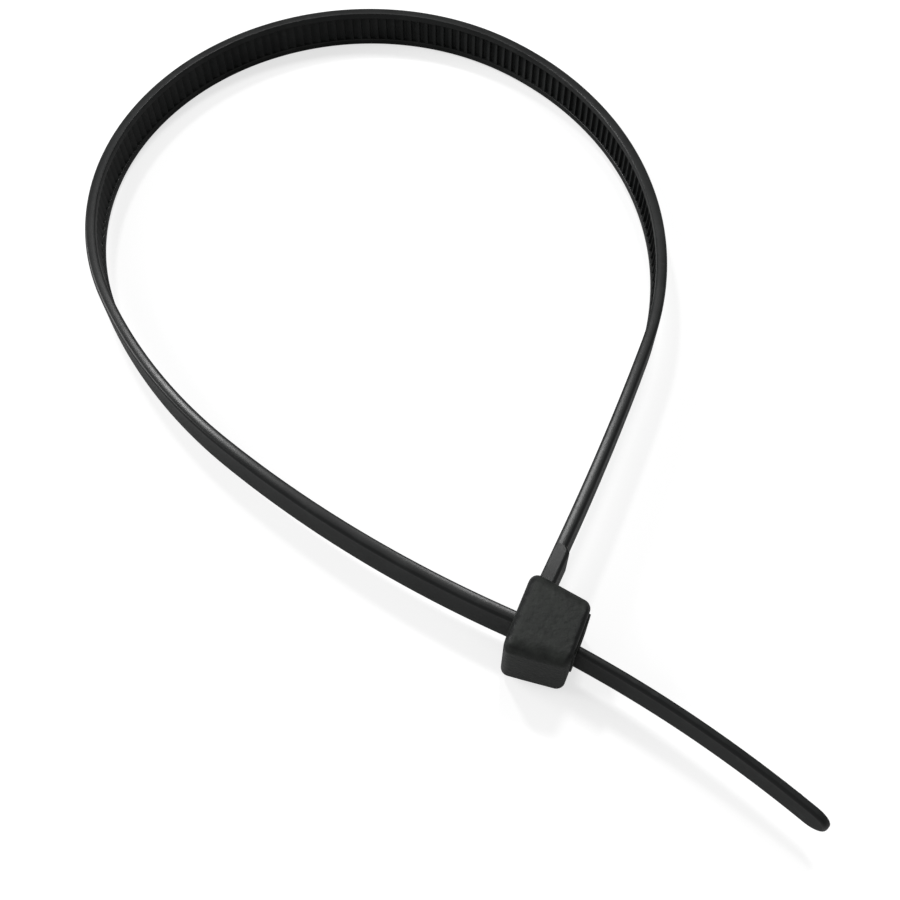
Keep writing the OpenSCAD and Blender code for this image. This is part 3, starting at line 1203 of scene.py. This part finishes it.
class NodeSheet:
    """A small helper that adds and joins nodes in one node tree."""

    def __init__(self, tree: bpy.types.NodeTree) -> None:
        """Start on an empty tree."""
        self.tree = tree

    @classmethod
    def cleared(cls, owner: bpy.types.Material | bpy.types.World) -> "NodeSheet":
        """Start on the emptied node tree of a material or a world.

        Args:
            owner: The material or world.

        Returns:
            A sheet on its tree.
        """
        owner.use_nodes = True
        owner.node_tree.nodes.clear()
        return cls(owner.node_tree)

    def add(self, kind: str, **values: object) -> bpy.types.Node:
        """Add a node.

        Args:
            kind: The node's type name.
            values: Properties to set, or inputs to fill where the name is an input's.

        Returns:
            The node.
        """
        node = self.tree.nodes.new(kind)
        for name, value in values.items():
            socket = name.replace("_", " ")
            if socket in node.inputs:
                node.inputs[socket].default_value = value
            else:
                setattr(node, name, value)
        return node

    def join(self, source: bpy.types.NodeSocket, target: bpy.types.NodeSocket) -> None:
        """Join an output to an input."""
        self.tree.links.new(source, target)

    def math(self, operation: str, *inputs: object) -> bpy.types.NodeSocket:
        """Add a Math node.

        Args:
            operation: The operation's name.
            inputs: Numbers or outputs, in order.

        Returns:
            The node's output.
        """
        node = self.add("ShaderNodeMath", operation=operation)
        for i, value in enumerate(inputs):
            if isinstance(value, (int, float)):
                node.inputs[i].default_value = value
            else:
                self.join(value, node.inputs[i])
        return node.outputs[0]


@dataclass(frozen=True)
class OpenGroup:
    """A node group while it is being built."""

    sheet: NodeSheet
    given: bpy.types.NodeOutputs
    out: bpy.types.NodeInputs

    @classmethod
    def start(cls, name: str, inputs: dict[str, float], outputs: list[str]) -> "OpenGroup":
        """Start a node group with named sockets.

        Args:
            name: The group's name.
            inputs: Names of its number inputs and their starting values.
            outputs: Names of its number outputs.

        Returns:
            The group, ready to be filled.
        """
        tree = bpy.data.node_groups.new(name, "ShaderNodeTree")
        for label, value in inputs.items():
            socket = tree.interface.new_socket(label, in_out="INPUT", socket_type="NodeSocketFloat")
            socket.default_value = value
        for label in outputs:
            tree.interface.new_socket(label, in_out="OUTPUT", socket_type="NodeSocketFloat")
        sheet = NodeSheet(tree)
        given, out = sheet.add("NodeGroupInput"), sheet.add("NodeGroupOutput")
        return cls(sheet, given.outputs, out.inputs)


class Effects:
    """The shader node groups that the nylon finishes share."""

    def __init__(self) -> None:
        """Build both groups once."""
        self.grain = self.make_grain()
        self.handling_and_shade = self.make_handling()

    @staticmethod
    def make_grain() -> bpy.types.NodeTree:
        """Build the fine spark-eroded grain of the mould.

        Returns:
            The group, which gives the grain's height and its patchiness.
        """
        group = OpenGroup.start(
            "mould_grain", {"Grain Size": 4200.0, "Patch Size": 260.0}, ["Height", "Patches"]
        )
        sheet = group.sheet
        place = sheet.add("ShaderNodeTexCoord")
        fine = sheet.add("ShaderNodeTexNoise", Detail=4.0, Roughness=0.62)
        pits = sheet.add("ShaderNodeTexVoronoi", feature="SMOOTH_F1")
        patches = sheet.add("ShaderNodeTexNoise", Detail=3.0, Roughness=0.5)
        for node, size in ((fine, "Grain Size"), (pits, "Grain Size"), (patches, "Patch Size")):
            sheet.join(place.outputs["Object"], node.inputs["Vector"])
            sheet.join(group.given[size], node.inputs["Scale"])
        both = sheet.math("MULTIPLY_ADD", pits.outputs["Distance"], PIT_SHARE, fine.outputs["Fac"])
        sheet.join(both, group.out["Height"])
        sheet.join(patches.outputs["Fac"], group.out["Patches"])
        return sheet.tree

    @staticmethod
    def make_handling() -> bpy.types.NodeTree:
        """Build the polish that handling leaves on edges, broken up by faint scuffs; the same mask
        sets painted shade on those edges.

        Returns:
            The group, which gives the polish, which also sets painted shade, and the scuffs.
        """
        group = OpenGroup.start("handling_and_shade", {"Scuff Size": 900.0}, ["Polish", "Scuffs"])
        sheet = group.sheet
        place = sheet.add("ShaderNodeTexCoord")
        rub_and_shade = sheet.add("ShaderNodeAttribute", attribute_name="rub_and_shade")
        scuffs = sheet.add("ShaderNodeTexNoise", Detail=3.0, Roughness=0.55, Distortion=0.6)
        sheet.join(place.outputs["Object"], scuffs.inputs["Vector"])
        sheet.join(group.given["Scuff Size"], scuffs.inputs["Scale"])
        broken = sheet.add("ShaderNodeMapRange", From_Min=-0.3, From_Max=0.5)
        marks = sheet.add("ShaderNodeMapRange", From_Min=0.6, From_Max=0.75)
        for node in (broken, marks):
            sheet.join(scuffs.outputs["Fac"], node.inputs["Value"])
        polish = sheet.math("MULTIPLY", rub_and_shade.outputs["Fac"], broken.outputs["Result"])
        sheet.join(polish, group.out["Polish"])
        sheet.join(marks.outputs["Result"], group.out["Scuffs"])
        return sheet.tree


@dataclass(frozen=True)
class NylonFinish:
    """A black nylon surface as one kind of mould steel leaves it."""

    surface: Surface
    dark: Triple = (0.0045, 0.005, 0.005)
    light: Triple = (0.0255, 0.027, 0.0265)
    index: float = 1.53
    rough: float = 0.46
    rough_spread: float = 0.1
    polish: float = 0.14
    # Painted shade: how far the polish mask darkens the base colour on edge faces, rounded edges and
    # tooth crests.
    painted_edge_shade: float = 0.6
    specular: float = 0.08
    sheen_line: float = 0.31
    line_rough: float = 0.2
    scuff_size: float = 900.0
    scuff_tint: float = 0.35
    grain_size: float = 4200.0
    bump: float = 0.1
    relief: float = 0.00004
    patch_size: float = 260.0

    def material(self, effects: Effects) -> bpy.types.Material:
        """Make the finish's material.

        Args:
            effects: The shared node groups.

        Returns:
            The material.
        """
        material = bpy.data.materials.new(self.surface.value)
        sheet = NodeSheet.cleared(material)
        out = sheet.add("ShaderNodeOutputMaterial")
        nylon = sheet.add(
            "ShaderNodeBsdfPrincipled",
            IOR=self.index,
            Specular_IOR_Level=self.specular,
            Coat_Roughness=self.line_rough,
        )
        grain = sheet.add(
            "ShaderNodeGroup",
            node_tree=effects.grain,
            Grain_Size=self.grain_size,
            Patch_Size=self.patch_size,
        ).outputs
        handling_and_shade = sheet.add(
            "ShaderNodeGroup", node_tree=effects.handling_and_shade, Scuff_Size=self.scuff_size
        ).outputs
        colour = sheet.add("ShaderNodeMix", data_type="RGBA")
        colour.inputs["A"].default_value = (*self.dark, 1.0)
        colour.inputs["B"].default_value = (*self.light, 1.0)
        tone = sheet.math("MULTIPLY_ADD", handling_and_shade["Scuffs"], self.scuff_tint, grain["Patches"])
        # Painted shade: the base colour is darkened where the polish mask is high, on the edge faces,
        # rounded edges and tooth crests.
        tone_with_painted_shade = sheet.math("MULTIPLY_ADD", handling_and_shade["Polish"], -self.painted_edge_shade, tone)
        spread = sheet.math("MULTIPLY_ADD", grain["Patches"], self.rough_spread, self.rough)
        rough = sheet.math("MULTIPLY_ADD", handling_and_shade["Polish"], -self.polish, spread)
        shine = sheet.math("MULTIPLY", handling_and_shade["Polish"], self.sheen_line)
        bump = sheet.add("ShaderNodeBump", Strength=self.bump, Distance=self.relief)
        sheet.join(tone_with_painted_shade, colour.inputs["Factor"])
        sheet.join(colour.outputs["Result"], nylon.inputs["Base Color"])
        sheet.join(rough, nylon.inputs["Roughness"])
        sheet.join(shine, nylon.inputs["Coat Weight"])
        sheet.join(grain["Height"], bump.inputs["Height"])
        sheet.join(bump.outputs["Normal"], nylon.inputs["Normal"])
        sheet.join(nylon.outputs["BSDF"], out.inputs["Surface"])
        return material


@dataclass(frozen=True)
class Camera:
    """The photograph's camera, set in a plan of the tie with the strap upright."""

    elevation: float = 61.2
    distance: float = 117.0
    focal_pixels: float = 1119.0
    frame_pixels: float = 900.0
    slot_in_plan: Pair = (6.57, -20.42)
    plan_turn: float = 25.5
    strap_half: float = 2.4
    sensor: float = 36.0
    clip: Pair = (0.005, 20.0)

    def build(self, place: Matrix) -> bpy.types.Object:
        """Make the camera.

        Args:
            place: Map from the working frame to the part's frame.

        Returns:
            The camera.
        """
        tilt = math.radians(self.elevation)
        back = Vector((0.0, -math.cos(tilt), math.sin(tilt)))
        right = Vector((1.0, 0.0, 0.0))
        to_working = Matrix.Rotation(math.radians(self.plan_turn), 4, "Z") @ Matrix.Translation(
            (-self.slot_in_plan[0], -self.slot_in_plan[1], -self.strap_half)
        )
        whole = place @ to_working
        axes = [(whole.to_3x3() @ v).normalized() for v in (right, back.cross(right), back)]
        data = bpy.data.cameras.new("camera")
        data.sensor_width = self.sensor
        data.lens = self.sensor * self.focal_pixels / self.frame_pixels
        data.clip_start, data.clip_end = self.clip
        camera = new_object("camera", data)
        stand = Matrix.Translation(whole @ (back * self.distance))
        camera.matrix_world = stand @ Matrix(axes).transposed().to_4x4()
        bpy.context.scene.camera = camera
        return camera


@dataclass(frozen=True)
class Softbox:
    """One rectangular studio light, aimed at the middle of the table."""

    name: str
    at: Triple
    size: Pair
    power: float

    def build(self) -> bpy.types.Object:
        """Make the light and aim it.

        Returns:
            The light.
        """
        data = bpy.data.lights.new(self.name, "AREA")
        data.shape = "RECTANGLE"
        data.size, data.size_y = self.size
        data.energy = self.power
        lamp = new_object(self.name, data)
        lamp.location = self.at
        lamp.rotation_euler = (-Vector(self.at)).to_track_quat("-Z", "Y").to_euler()
        return lamp


@dataclass(frozen=True)
class Studio:
    """A white table, a white surround for the camera and soft lights over the tie."""

    table_size: float = 3.0
    table_colour: Triple = (0.42, 0.42, 0.42)
    table_glow: float = 0.66
    table_mirrored: float = 0.15
    surround: float = 0.45
    sky_mirrored: float = 0.3
    lights: list[Softbox] = field(
        default_factory=lambda: [
            Softbox("back_left", (-0.195, 0.38, 0.60), (0.06, 0.06), 1.4),
            Softbox("back_right", (0.07, 0.335, 0.64), (0.1, 0.13), 1.75),
            Softbox("side_left", (-0.75, 0.2, 0.4), (0.5, 0.5), 6.0),
        ]
    )

    @staticmethod
    def seen(sheet: NodeSheet, mirrored: float) -> bpy.types.NodeSocket:
        """Tell rays that show the ground to the camera from those that light the tie.

        Args:
            sheet: The material or world to add the test to.
            mirrored: How much of the ground's white a reflection shows.

        Returns:
            1 for straight and clear rays, mirrored for reflected ones and 0 for the rest.
        """
        path = sheet.add("ShaderNodeLightPath").outputs
        straight = sheet.math("MAXIMUM", path["Is Camera Ray"], path["Is Transmission Ray"])
        reflected = sheet.math("MULTIPLY", path["Is Glossy Ray"], mirrored)
        return sheet.math("MAXIMUM", straight, reflected)

    def table(self, level: float) -> bpy.types.Object:
        """Make the table's top.

        Args:
            level: Height of its surface.

        Returns:
            The table top, marked as stage.
        """
        half = self.table_size / 2
        signs = ((-1, -1), (1, -1), (1, 1), (-1, 1))
        mesh = new_mesh("table_top", [(x * half, y * half, level) for x, y in signs], [(0, 1, 2, 3)])
        material = bpy.data.materials.new("white_table")
        sheet = NodeSheet.cleared(material)
        out = sheet.add("ShaderNodeOutputMaterial")
        paper = sheet.add("ShaderNodeBsdfDiffuse", Color=(*self.table_colour, 1.0))
        glow = sheet.add("ShaderNodeEmission")
        both = sheet.add("ShaderNodeAddShader")
        strength = sheet.math("MULTIPLY", self.seen(sheet, self.table_mirrored), self.table_glow)
        sheet.join(strength, glow.inputs["Strength"])
        sheet.join(paper.outputs[0], both.inputs[0])
        sheet.join(glow.outputs[0], both.inputs[1])
        sheet.join(both.outputs[0], out.inputs["Surface"])
        mesh.materials.append(material)
        table = new_object("table_top", mesh)
        table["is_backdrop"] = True
        return table

    def world(self) -> None:
        """Make the surround: white to the camera and dimmer to the lit surfaces."""
        world = bpy.data.worlds.new("studio")
        sheet = NodeSheet.cleared(world)
        out = sheet.add("ShaderNodeOutputWorld")
        sky = sheet.add("ShaderNodeBackground")
        lit = self.seen(sheet, self.sky_mirrored)
        strength = sheet.math("MULTIPLY_ADD", lit, 1.0 - self.surround, self.surround)
        sheet.join(strength, sky.inputs["Strength"])
        sheet.join(sky.outputs[0], out.inputs["Surface"])
        bpy.context.scene.world = world

    def build(self, level: float) -> None:
        """Set up the table, the surround and the lights.

        Args:
            level: Height of the table's surface.
        """
        self.table(level)
        self.world()
        for light in self.lights:
            light.build()


def box_list(box: tuple[Vector, Vector]) -> list[list[float]]:
    """Return a box's two corners as plain lists."""
    return [[float(x) for x in corner] for corner in box]


def main() -> None:
    """Load the frame, build and dress every piece, and set up the camera and the studio."""
    logging.basicConfig(level=logging.INFO, format="%(message)s")
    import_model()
    cad_box = box_list(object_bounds())
    strap_size, head_size, tail_size = StrapSize(), HeadSize(), TailSize()
    loop = Loop(strap_size, head_size, tail_size)
    place = Rest(loop).matrix()
    effects = Effects()
    finishes = [
        NylonFinish(Surface.SATIN),
        NylonFinish(
            Surface.TEXTURED,
            light=(0.026, 0.029, 0.026),
            rough=0.5,
            specular=0.15,
            sheen_line=0.05,
            bump=0.6,
            relief=0.0001,
            grain_size=2200.0,
            patch_size=1300.0,
        ),
        NylonFinish(Surface.POLISHED, rough=0.34, bump=0.04),
    ]
    bench = Bench(place, {finish.surface: finish.material(effects) for finish in finishes})
    makers = [
        Strap(strap_size, loop),
        Neck(strap_size, head_size, loop),
        Head(head_size, strap_size),
        Pawl(head_size, strap_size, loop),
        Tail(tail_size, strap_size, head_size),
    ]
    for maker in makers:
        piece = maker.build(bench)
        mesh = piece.data
        log.info("%s: %d points, %d faces", piece.name, len(mesh.vertices), len(mesh.polygons))
    Studio().build(cad_box[0][2])
    Camera().build(place)
    bpy.context.scene.view_settings.view_transform = "Standard"


if __name__ == "__main__":
    main()
